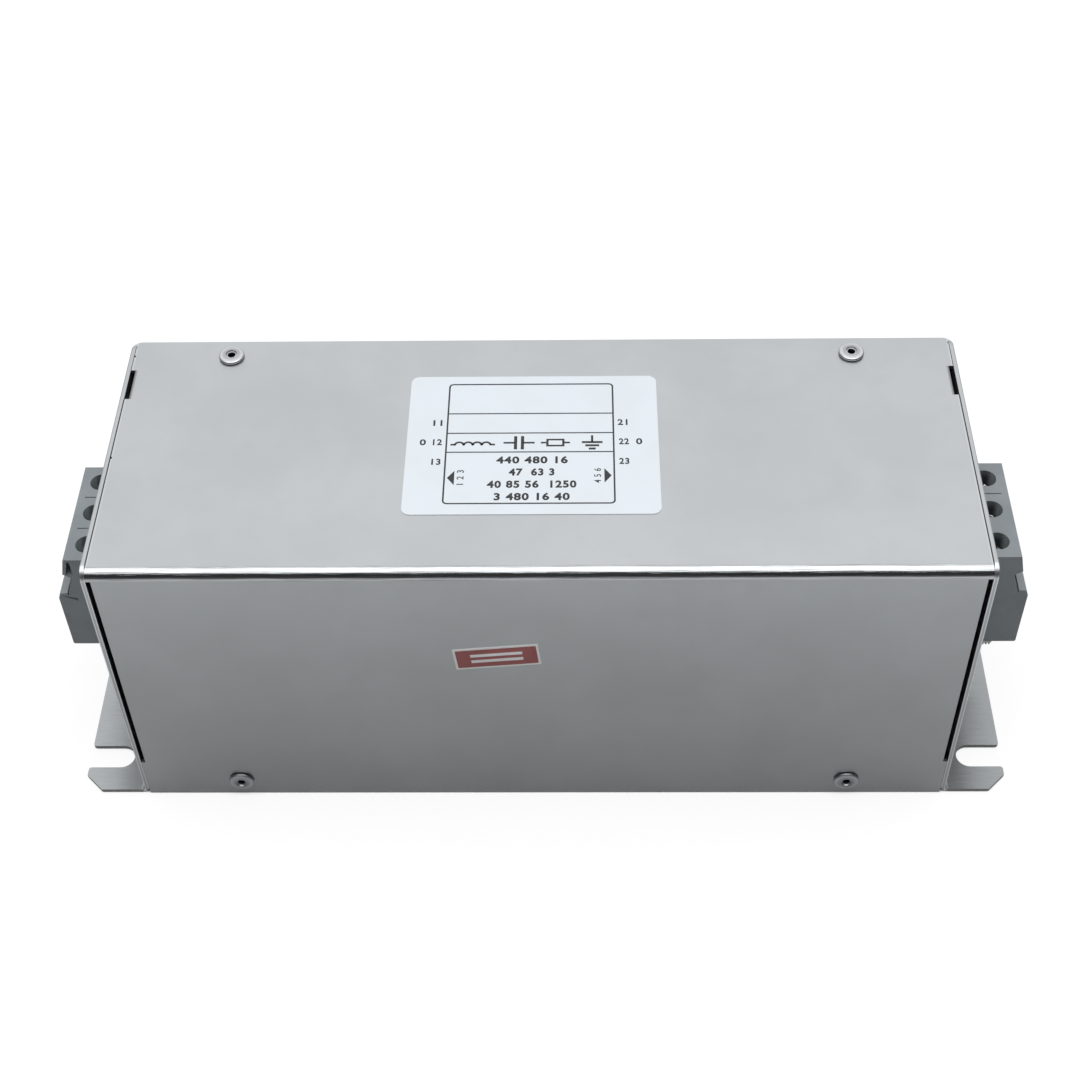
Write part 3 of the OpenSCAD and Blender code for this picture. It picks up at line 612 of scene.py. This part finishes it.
# %% Helpers for modelling
def deselect():
    if bpy.context.mode != "OBJECT":
        bpy.ops.object.mode_set(mode="OBJECT")
    bpy.ops.object.select_all(action="DESELECT")


def choose(piece):
    """Selects one object and no other."""
    deselect()
    piece.select_set(True)
    bpy.context.view_layer.objects.active = piece


def settle(piece):
    """Moves the object's place, turn and size into its mesh."""
    choose(piece)
    bpy.ops.object.transform_apply(location=True, rotation=True, scale=True)
    return piece


def pick(piece, chosen):
    """In edit mode, selects the points for which chosen(co) is true, co in millimetres."""
    bpy.ops.mesh.select_mode(type="VERT")
    bpy.ops.mesh.select_all(action="DESELECT")
    bpy.ops.object.mode_set(mode="OBJECT")
    for point in piece.data.vertices:
        point.select = bool(chosen(point.co / MM))
    bpy.ops.object.mode_set(mode="EDIT")


def push(x=0.0, y=0.0, z=0.0):
    bpy.ops.transform.translate(value=(x * MM, y * MM, z * MM))


def apply_modifier(piece, kind, **settings):
    """Adds a modifier, sets it, and applies it."""
    choose(piece)
    modifier = piece.modifiers.new("step", kind)
    for name, setting in settings.items():
        setattr(modifier, name, setting)
    bpy.ops.object.modifier_apply(modifier=modifier.name)


def dress(piece, name, finish):
    """Names a new piece and gives it its finish."""
    piece.name = name
    piece.data.name = name
    piece.data.materials.clear()
    piece.data.materials.append(finish)


# %% Flat shapes
def block(x, y, width, height, corner=0.0):
    """A filled rectangle, with rounded corners if asked."""
    deselect()
    bpy.ops.mesh.primitive_plane_add(size=MM)
    piece = bpy.context.object
    piece.scale = (width, height, 1)
    settle(piece)
    if corner:
        bpy.ops.object.mode_set(mode="EDIT")
        bpy.ops.mesh.select_all(action="SELECT")
        bpy.ops.mesh.bevel(offset=corner * MM, segments=6, affect="VERTICES")
        bpy.ops.object.mode_set(mode="OBJECT")
    piece.location = (x * MM, y * MM, 0)
    return settle(piece)


def outline(x, y, width, height, corner, line):
    """The line round a rectangle."""
    piece = block(x, y, width, height, corner)
    bpy.ops.object.mode_set(mode="EDIT")
    bpy.ops.mesh.select_all(action="SELECT")
    bpy.ops.mesh.inset(thickness=line * MM, use_boundary=True)
    bpy.ops.mesh.delete(type="FACE")
    bpy.ops.object.mode_set(mode="OBJECT")
    return piece


def polygon(x, y, radius, corners, turn=0.0, stretch=1.0):
    """A regular polygon, stretched along X. Three corners make an arrowhead."""
    deselect()
    bpy.ops.mesh.primitive_circle_add(vertices=corners, radius=radius * MM, fill_type="NGON")
    piece = bpy.context.object
    piece.rotation_euler.z = turn
    settle(piece)
    piece.scale.x = stretch
    piece.location = (x * MM, y * MM, 0)
    return settle(piece)


def lay_on(shapes, name, ink, thickness, place, facing):
    """Joins flat shapes into one print, gives it thickness, and lays it on a face."""
    deselect()
    for shape in shapes:
        shape.select_set(True)
    bpy.context.view_layer.objects.active = shapes[0]
    bpy.ops.object.join()
    coat = bpy.context.object
    bpy.ops.object.mode_set(mode="EDIT")
    bpy.ops.mesh.select_all(action="SELECT")
    bpy.ops.mesh.remove_doubles(threshold=0.002 * MM)
    bpy.ops.mesh.normals_make_consistent(inside=False)
    bpy.ops.object.mode_set(mode="OBJECT")
    if coat.data.polygons[0].normal.z < 0:
        bpy.ops.object.mode_set(mode="EDIT")
        bpy.ops.mesh.flip_normals()
        bpy.ops.object.mode_set(mode="OBJECT")
    apply_modifier(coat, "SOLIDIFY", thickness=thickness, offset=1.0)
    coat.matrix_world = Matrix.Translation(place) @ facing
    settle(coat)
    dress(coat, name, ink)
    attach(coat, ROOT)
    print(name, len(coat.data.polygons), "faces")
    return coat


# %% [markdown]
# ## The label's print
#
# The label has a ruled frame: an empty field for a name, a narrow one, a row of signs, and a
# field of data between two arrowheads that point to the line end and the load end. The signs are
# the plain symbols of what is inside: a coil, a capacitor, a resistor and earth. The data are
# plain numbers, and so are the marks beside the frame where the terminals are.

# %% Places on the label
INK = 0.03 * MM
label_middle = Vector(((label_low.x + label_high.x) / 2, (label_low.y + label_high.y) / 2, label_high.z))
FRAME_W = 39.05
FRAME_D = 39.3
FRAME_X = -0.58
FRAME_Y = 0.3
LINE_W = 0.38
LEFT = FRAME_X - FRAME_W / 2
RIGHT = FRAME_X + FRAME_W / 2
FRONT = FRAME_Y - FRAME_D / 2
RULES = [FRONT + height for height in (16.4, 22.6, 29.1)]
SIGNS_Y = FRONT + 19.4
DIGIT_H = 2.15
MARK_H = 1.9
SIGN_LINE = 0.52


# %% Circuit symbols
def arch(x, y, radius, line):
    """The upper half of a ring, one loop of a coil."""
    deselect()
    bpy.ops.mesh.primitive_circle_add(vertices=32, radius=radius * MM, fill_type="NGON")
    piece = bpy.context.object
    bpy.ops.object.mode_set(mode="EDIT")
    bpy.ops.mesh.select_all(action="SELECT")
    bpy.ops.mesh.inset(thickness=line * MM, use_boundary=True)
    bpy.ops.mesh.delete(type="FACE")
    pick(piece, lambda co: co.y < -0.001)
    bpy.ops.mesh.delete(type="VERT")
    bpy.ops.object.mode_set(mode="OBJECT")
    piece.location = (x * MM, y * MM, 0)
    return settle(piece)


def coil_sign(x, y, line):
    foot = y - 0.8
    loops = [arch(x + 1.04 * step, foot, 1.3, line) for step in (-3, -1, 1, 3)]
    return loops + [block(x + step, foot + line / 2, 1.1, line) for step in (-4.6, 4.6)]


def capacitor_sign(x, y, line):
    plates = [block(x + step, y, line * 1.4, 4.3) for step in (-0.8, 0.8)]
    return plates + [block(x + step, y, 2.6, line) for step in (-2.3, 2.3)]


def resistor_sign(x, y, line):
    wires = [block(x + step, y, 1.3, line) for step in (-2.7, 2.7)]
    return [outline(x, y, 4.2, 2.5, 0.05, line)] + wires


def earth_sign(x, y, line):
    steps = ((0, 4.8), (1.05, 3.2), (2.1, 1.6))
    bars = [block(x, y + 0.1 - step, width, line * 1.2) for step, width in steps]
    return bars + [block(x, y + 1.25, line, 2.2)]


# %% Numbers
def numeral(text, x, y, height, width, turn=0.0, weight=0.035):
    """Plain numbers of a given height and width, centred on a place. weight fattens the strokes."""
    deselect()
    bpy.ops.object.text_add()
    writing = bpy.context.object
    writing.data.body = text
    writing.data.size = height * MM / 0.73
    writing.data.space_character = 1.12
    writing.data.align_x = "CENTER"
    writing.data.align_y = "CENTER"
    writing.data.offset = weight * height * MM
    writing.data.resolution_u = 3
    writing.select_set(True)
    bpy.ops.object.convert(target="MESH")
    piece = bpy.context.object
    piece.scale.x = width * MM / piece.dimensions.x
    settle(piece)
    piece.rotation_euler.z = turn
    piece.location = (x * MM, y * MM, 0)
    return settle(piece)


# %% Label print
label_shapes = [outline(FRAME_X, FRAME_Y, FRAME_W, FRAME_D, 1.1, LINE_W)]
label_shapes += [block(FRAME_X, y, FRAME_W - 1.9 * LINE_W, LINE_W * 0.85) for y in RULES]
SIGNS = ((coil_sign, 6.3), (capacitor_sign, 17.0), (resistor_sign, 25.4), (earth_sign, 33.9))
for sign, place in SIGNS:
    label_shapes += sign(LEFT + place, SIGNS_Y, SIGN_LINE)
DATA_ROWS = (("440 480 16", 16.4), ("47  63 3", 10.4), ("40 85 56  1250", 20.3), ("3 480 16 40", 17.1))
for step, (numbers, width) in enumerate(DATA_ROWS):
    height = FRONT + 13.7 - 3.85 * step
    label_shapes.append(numeral(numbers, FRAME_X + 0.6, height, DIGIT_H, width, weight=0.05))
for edge, inward, above, numbers in ((LEFT, 1, 8.2, "1 2 3"), (RIGHT, -1, 8.8, "4 5 6")):
    height = FRONT + above
    label_shapes.append(polygon(edge + inward * 1.9, height, 2.6, 3, inward * math.pi / 2, 0.42))
    label_shapes.append(numeral(numbers, edge + inward * 3.9, height, 1.6, 4.6, math.pi / 2, 0.01))
for step in range(3):
    height = FRONT + 25.95 - 6.35 * step
    label_shapes.append(numeral(str(11 + step), LEFT - 2.1, height, MARK_H, 2.1))
    label_shapes.append(numeral(str(21 + step), RIGHT + 2.2, height, MARK_H, 2.3))
for place in (LEFT - 5.3, RIGHT + 5.7):
    label_shapes.append(numeral("0", place, FRONT + 19.6, MARK_H, 1.45))
label_print = lay_on(label_shapes, "label_print", label_ink, INK, label_middle, Matrix.Identity(4))

# %% [markdown]
# ## The sticker's print
#
# The sticker is white paper with a red field and two white bars. It is stuck on slightly askew,
# so its print is made level and turned as a whole. Its tilt follows from its box: a rectangle of
# known size that is turned reaches a little wider and a lot taller.

# %% Sticker print
STICKER_W, STICKER_H = 19.7, 7.2
BORDER = 0.55
box_w = (sticker_high.x - sticker_low.x) / MM
box_h = (sticker_high.z - sticker_low.z) / MM
sticker_tilt = math.asin((box_h * STICKER_W - box_w * STICKER_H) / (STICKER_W**2 - STICKER_H**2))
print(f"sticker turned by {math.degrees(sticker_tilt):.1f} degrees")
sticker_middle = (sticker_low + sticker_high) / 2
sticker_middle.y = sticker_low.y
upright = Matrix.Rotation(-sticker_tilt, 4, "Y") @ Matrix.Rotation(math.pi / 2, 4, "X")
field = [block(0, 0, STICKER_W - 2 * BORDER, STICKER_H - 2 * BORDER, 0.2)]
sticker_field = lay_on(field, "sticker_field", sticker_red, INK, sticker_middle, upright)
bars = [block(0, height, 12.0, 0.95) for height in (1.0, -1.0)]
sticker_middle.y -= INK
sticker_bars = lay_on(bars, "sticker_bars", sticker_white, INK, sticker_middle, upright)

# %% [markdown]
# ## Threaded earth studs
#
# An earth stud is pressed through the end wall from inside, and its thread stands out under the
# terminal block. A thread is one tooth carried round and along, so the outline of a single tooth
# is drawn as an edge, and a Screw modifier winds it up the stud. Both ends of the winding are
# cut square, which also closes it. A blank with a bevelled tip trims it to its outer size with a
# Boolean, as a lathe would, and the head is joined on.

# %% Sizes of a stud
studs_low, studs_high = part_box("earth_studs")
PITCH = 0.8
STUD_D = 5.0
STUD_TIP = 0.8
TOOTH = 0.61 * PITCH
CREST = 0.13 * PITCH
FLANK = 0.26 * PITCH
# The winding starts this many pitches down: an odd share, so that no cut meets a row of points.
CUT_CLEAR = 1.0131
STUD_HEAD_D = (studs_high.z - studs_low.z) / MM
STUD_REACH = studs_high.x / MM - CASE_END
STUD_HEAD_H = 1.4
STUD_Z = (studs_low.z + studs_high.z) / 2 / MM
print(f"studs reach {STUD_REACH:.1f} mm beyond the wall, heads {STUD_HEAD_D:.1f} mm")


# %% One tooth, wound up
def wound_tooth(length):
    """A thread of full form along Z from 0 to length, cut square at both ends."""
    deselect()
    bpy.ops.mesh.primitive_plane_add(size=PITCH * MM, rotation=(math.pi / 2, 0, 0))
    thread = settle(bpy.context.object)
    bpy.ops.object.mode_set(mode="EDIT")
    pick(thread, lambda co: co.x > 0)
    bpy.ops.mesh.delete(type="VERT")
    bpy.ops.mesh.select_all(action="SELECT")
    push(PITCH / 2 + STUD_D / 2 - TOOTH)
    bpy.ops.mesh.subdivide(number_cuts=7)
    pick(thread, lambda co: abs(co.z) < CREST)
    push(TOOTH)
    pick(thread, lambda co: CREST < abs(co.z) < FLANK)
    push(TOOTH * 0.55)
    bpy.ops.object.mode_set(mode="OBJECT")
    turns = math.ceil(length / PITCH) + 2
    winding = {"axis": "Z", "angle": math.tau, "screw_offset": PITCH * MM, "iterations": turns}
    apply_modifier(thread, "SCREW", steps=40, render_steps=40, use_merge_vertices=True, **winding)
    bpy.ops.object.mode_set(mode="EDIT")
    bpy.ops.mesh.select_all(action="SELECT")
    bpy.ops.mesh.remove_doubles(threshold=0.004 * MM)
    push(z=-CUT_CLEAR * PITCH)
    square = {"plane_no": (0, 0, 1), "use_fill": True, "threshold": 0.001 * MM}
    for height, waste in ((0, "clear_inner"), (length, "clear_outer")):
        bpy.ops.mesh.select_all(action="SELECT")
        bpy.ops.mesh.bisect(plane_co=(0, 0, height * MM), **{waste: True}, **square)
    bpy.ops.mesh.select_all(action="SELECT")
    bpy.ops.mesh.normals_make_consistent(inside=False)
    bpy.ops.object.mode_set(mode="OBJECT")
    return thread


# %% Blank and head
def rod(radius, low, high, sides=64):
    """A cylinder along Z between two heights."""
    deselect()
    size = {"radius": radius * MM, "depth": (high - low) * MM, "vertices": sides}
    bpy.ops.mesh.primitive_cylinder_add(location=(0, 0, (low + high) / 2 * MM), **size)
    return settle(bpy.context.object)


def turned_blank():
    """The envelope of a stud's shank along Z, with its bevelled tip."""
    blank = rod(STUD_D / 2, -SHEET - STUD_HEAD_H, STUD_REACH)
    bpy.ops.object.mode_set(mode="EDIT")
    for height in (-SHEET, STUD_REACH - STUD_TIP):
        bpy.ops.mesh.select_all(action="SELECT")
        bpy.ops.mesh.bisect(plane_co=(0, 0, height * MM), plane_no=(0, 0, 1))
    pick(blank, lambda co: co.z > STUD_REACH - 0.01)
    narrow = 1 - 2 * STUD_TIP / STUD_D
    bpy.ops.transform.resize(value=(narrow, narrow, 1), center_override=(0, 0, STUD_REACH * MM))
    bpy.ops.object.mode_set(mode="OBJECT")
    return blank


def stud_head():
    """A low round head with a softened rim, which lies against the inside of the wall."""
    head = rod(STUD_HEAD_D / 2, -SHEET - STUD_HEAD_H, -SHEET)
    apply_modifier(head, "BEVEL", width=0.25 * MM, segments=3, angle_limit=math.radians(60))
    return head


# %% Trimming, smoothing and copying
def trim(piece, tool, operation):
    """Cuts, joins or trims a piece with a tool, and takes the tool away."""
    apply_modifier(piece, "BOOLEAN", operation=operation, object=tool, solver="EXACT")
    bpy.data.objects.remove(tool, do_unlink=True)


def smooth(piece, degrees):
    """Shades a piece smooth, apart from edges sharper than an angle."""
    choose(piece)
    bpy.ops.object.shade_smooth_by_angle(angle=math.radians(degrees))


def copy_of(piece):
    """A copy with a mesh of its own."""
    twin = piece.copy()
    twin.data = piece.data.copy()
    bpy.context.scene.collection.objects.link(twin)
    return twin


# %% Both studs
stud = wound_tooth(STUD_REACH)
trim(stud, turned_blank(), "INTERSECT")
bpy.ops.object.mode_set(mode="EDIT")
pick(stud, lambda co: co.z < 0.001)
bpy.ops.mesh.extrude_region_move(TRANSFORM_OT_translate={"value": (0, 0, -SHEET * MM)})
bpy.ops.object.mode_set(mode="OBJECT")
trim(stud, stud_head(), "UNION")
smooth(stud, 35)
wall_middle = Matrix.Translation((CASE_END * MM, 0, STUD_Z * MM))
stud.matrix_world = wall_middle @ Matrix.Rotation(math.pi / 2, 4, "Y")
settle(stud)
twin = copy_of(stud)
twin.matrix_world = Matrix.Rotation(math.pi, 4, "Z")
settle(twin)
for piece, name in ((stud, "load_stud_thread"), (twin, "line_stud_thread")):
    dress(piece, name, plated_steel)
    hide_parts("earth_studs")
    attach(piece, ROOT)
    print(name, len(piece.data.polygons), "faces")

# %% [markdown]
# ## Clamp screws
#
# Deep in each screwdriver hole sits the head of a clamp screw. Only its slopes and softened edges
# catch the light, so they are modelled: a raised rim round a shallow dish, a slot and a shorter
# cross arm cut into it, and a bevel along their edges. Each screw was left at its own turn.

# %% One clamp screw
SCREW_LENGTH = (screws_high.z - screws_low.z) / MM
SCREW_HEAD_H = 2.4
SHANK_R = 2.0
SLOT_W = 0.9
SLOT_DEPTH = 1.1
ARM_LENGTH = 3.2
# From the head's edge inwards, each step's width and its rise: a raised rim, then the dish.
HEAD_STEPS = ((0.3, 0.3), (0.2, 0.05), (0.8, -0.34), (0.5, -0.3))


def slot_cutter(length):
    """A bar as wide as the slot, whose foot is SLOT_DEPTH below the head's edge."""
    deselect()
    bpy.ops.mesh.primitive_cube_add(size=MM, location=(0, 0, (1 - SLOT_DEPTH) * MM))
    bar = bpy.context.object
    bar.scale = (length, SLOT_W, 2)
    return settle(bar)


def clamp_screw():
    """A screw along Z: the edge of its head at 0, the raised rim above, the shank below."""
    screw = rod(SCREW_HEAD_R, -SCREW_HEAD_H, 0, sides=48)
    bpy.ops.object.mode_set(mode="EDIT")
    pick(screw, lambda co: co.z < -SCREW_HEAD_H / 2)
    bpy.ops.mesh.inset(thickness=(SCREW_HEAD_R - SHANK_R) * MM)
    down = (0, 0, (SCREW_HEAD_H - SCREW_LENGTH) * MM)
    bpy.ops.mesh.extrude_region_move(TRANSFORM_OT_translate={"value": down})
    pick(screw, lambda co: co.z > -SCREW_HEAD_H / 2)
    for inset, rise in HEAD_STEPS:
        bpy.ops.mesh.inset(thickness=inset * MM)
        push(z=rise)
    bpy.ops.object.mode_set(mode="OBJECT")
    trim(screw, slot_cutter(2 * SCREW_HEAD_R + 1), "DIFFERENCE")
    arm = slot_cutter(ARM_LENGTH)
    arm.rotation_euler.z = math.pi / 2
    settle(arm)
    trim(screw, arm, "DIFFERENCE")
    apply_modifier(screw, "BEVEL", width=0.26 * MM, segments=3, angle_limit=math.radians(50))
    smooth(screw, 40)
    return screw


# %% Six screws in place
first_screw = clamp_screw()
SCREW_TURNS = {"load": (80, 151, 137), "line": (20, 128, 65)}
for end, side in (("load", 1), ("line", -1)):
    for row, turn in enumerate(SCREW_TURNS[end]):
        piece = copy_of(first_screw)
        place = Vector((side * SCREW_X, (row - 1) * POLE_PITCH, screws_high.z / MM)) * MM
        piece.matrix_world = Matrix.Translation(place) @ Matrix.Rotation(math.radians(turn), 4, "Z")
        settle(piece)
        dress(piece, f"{end}_clamp_screw_{row + 1}", plated_steel)
        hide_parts(f"{end}_clamp_screws")
        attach(piece, ROOT)
print("clamp screw:", len(first_screw.data.polygons), "faces")
bpy.data.objects.remove(first_screw, do_unlink=True)

# %% [markdown]
# ## Stage and light
#
# The floor is plain and pale to the camera. A wide soft box hangs over the case: the top mirrors
# its far edge as an even grey, and the front fold mirrors its middle as a white line. The room
# behind is light, and the room and the far floor in front are dark, which gives the fold its dark
# lower half. The floor near the case is what its front panel mirrors, so its tone sets how bright
# the panel is. Where the case all but meets the floor, a thin shade darkens it.

# %% Floor
# It lies a hair below the flanges, so that the two never share a plane.
FLOOR_DROP = 0.3
deselect()
bpy.ops.mesh.primitive_plane_add(size=12, location=(0, 0, -FLOOR_DROP * MM))
floor = bpy.context.object
floor.name = "floor"
settle(floor)
paper = Finish("floor_paper")
across, along, up = paper.axes(paper.place)
forward = along * -1
# Painted shadow: near the case the floor is darker, as if the case shaded it, and the front panel
# mirrors it. Far in front the floor is dark.
pale = paper.mix(forward.ease(135, 80), tone(0.68), tone(0.42))
pale = paper.mix(forward.ease(200, 420), pale, tone(0.08))
paper_material = paper.set(base_color=pale, roughness=0.9)
seen = paper.node("ShaderNodeLightPath", output="Is Camera Ray")
glow = paper.node("ShaderNodeEmission", inputs={"Color": (1, 1, 1, 1), "Strength": 0.8})
matt = paper.node("ShaderNodeBsdfDiffuse", inputs={"Color": (0.24, 0.24, 0.24, 1)})
lit = paper.node("ShaderNodeAddShader", inputs={0: glow, 1: matt})
gap_reach = {"Distance": 5 * MM}
open_sky = paper.node("ShaderNodeAmbientOcclusion", {"samples": 8}, gap_reach, output="AO")
shade = paper.node("ShaderNodeBsdfDiffuse", inputs={"Color": (0.05, 0.05, 0.05, 1)})
lit = paper.node("ShaderNodeMixShader", inputs={0: open_sky.ease(0.2, 0.45), 1: shade, 2: lit})
face = paper.node("ShaderNodeMixShader", inputs={0: seen, 1: Value(paper.shader.outputs[0]), 2: lit})
plug(paper.tree.nodes["Material Output"].inputs["Surface"], face)
floor.data.materials.append(paper_material)

# %% Soft box and room
lamp_data = bpy.data.lights.new("soft_box", "AREA")
lamp_data.shape = "RECTANGLE"
lamp_data.size = 1.6
lamp_data.size_y = 1.0
lamp_data.energy = 9.3
lamp = bpy.data.objects.new("soft_box", lamp_data)
lamp.location = (0, -0.29, 1.0)
bpy.context.scene.collection.objects.link(lamp)
print(f"soft box {lamp_data.size:.1f} by {lamp_data.size_y:.1f} m, {lamp.location.z:.1f} m up")

room = bpy.context.scene.world or bpy.data.worlds.new("room")
bpy.context.scene.world = room
room.use_nodes = True
room_graph = Graph(room.node_tree)
way = room_graph.node("ShaderNodeTexCoord", output="Generated")
north, up = room_graph.axes(way)[1:]
light = 0.05 + (up * 0.8 + north * 0.6).ease(0.25, 0.9) * 0.98
room_seen = room_graph.node("ShaderNodeLightPath", output="Is Camera Ray")
room_back = room.node_tree.nodes["Background"]
plug(room_back.inputs["Strength"], light * (1 - room_seen) + room_seen)
room_back.inputs["Color"].default_value = (1.0, 1.0, 1.0, 1.0)
bpy.context.scene.view_settings.view_transform = "Standard"
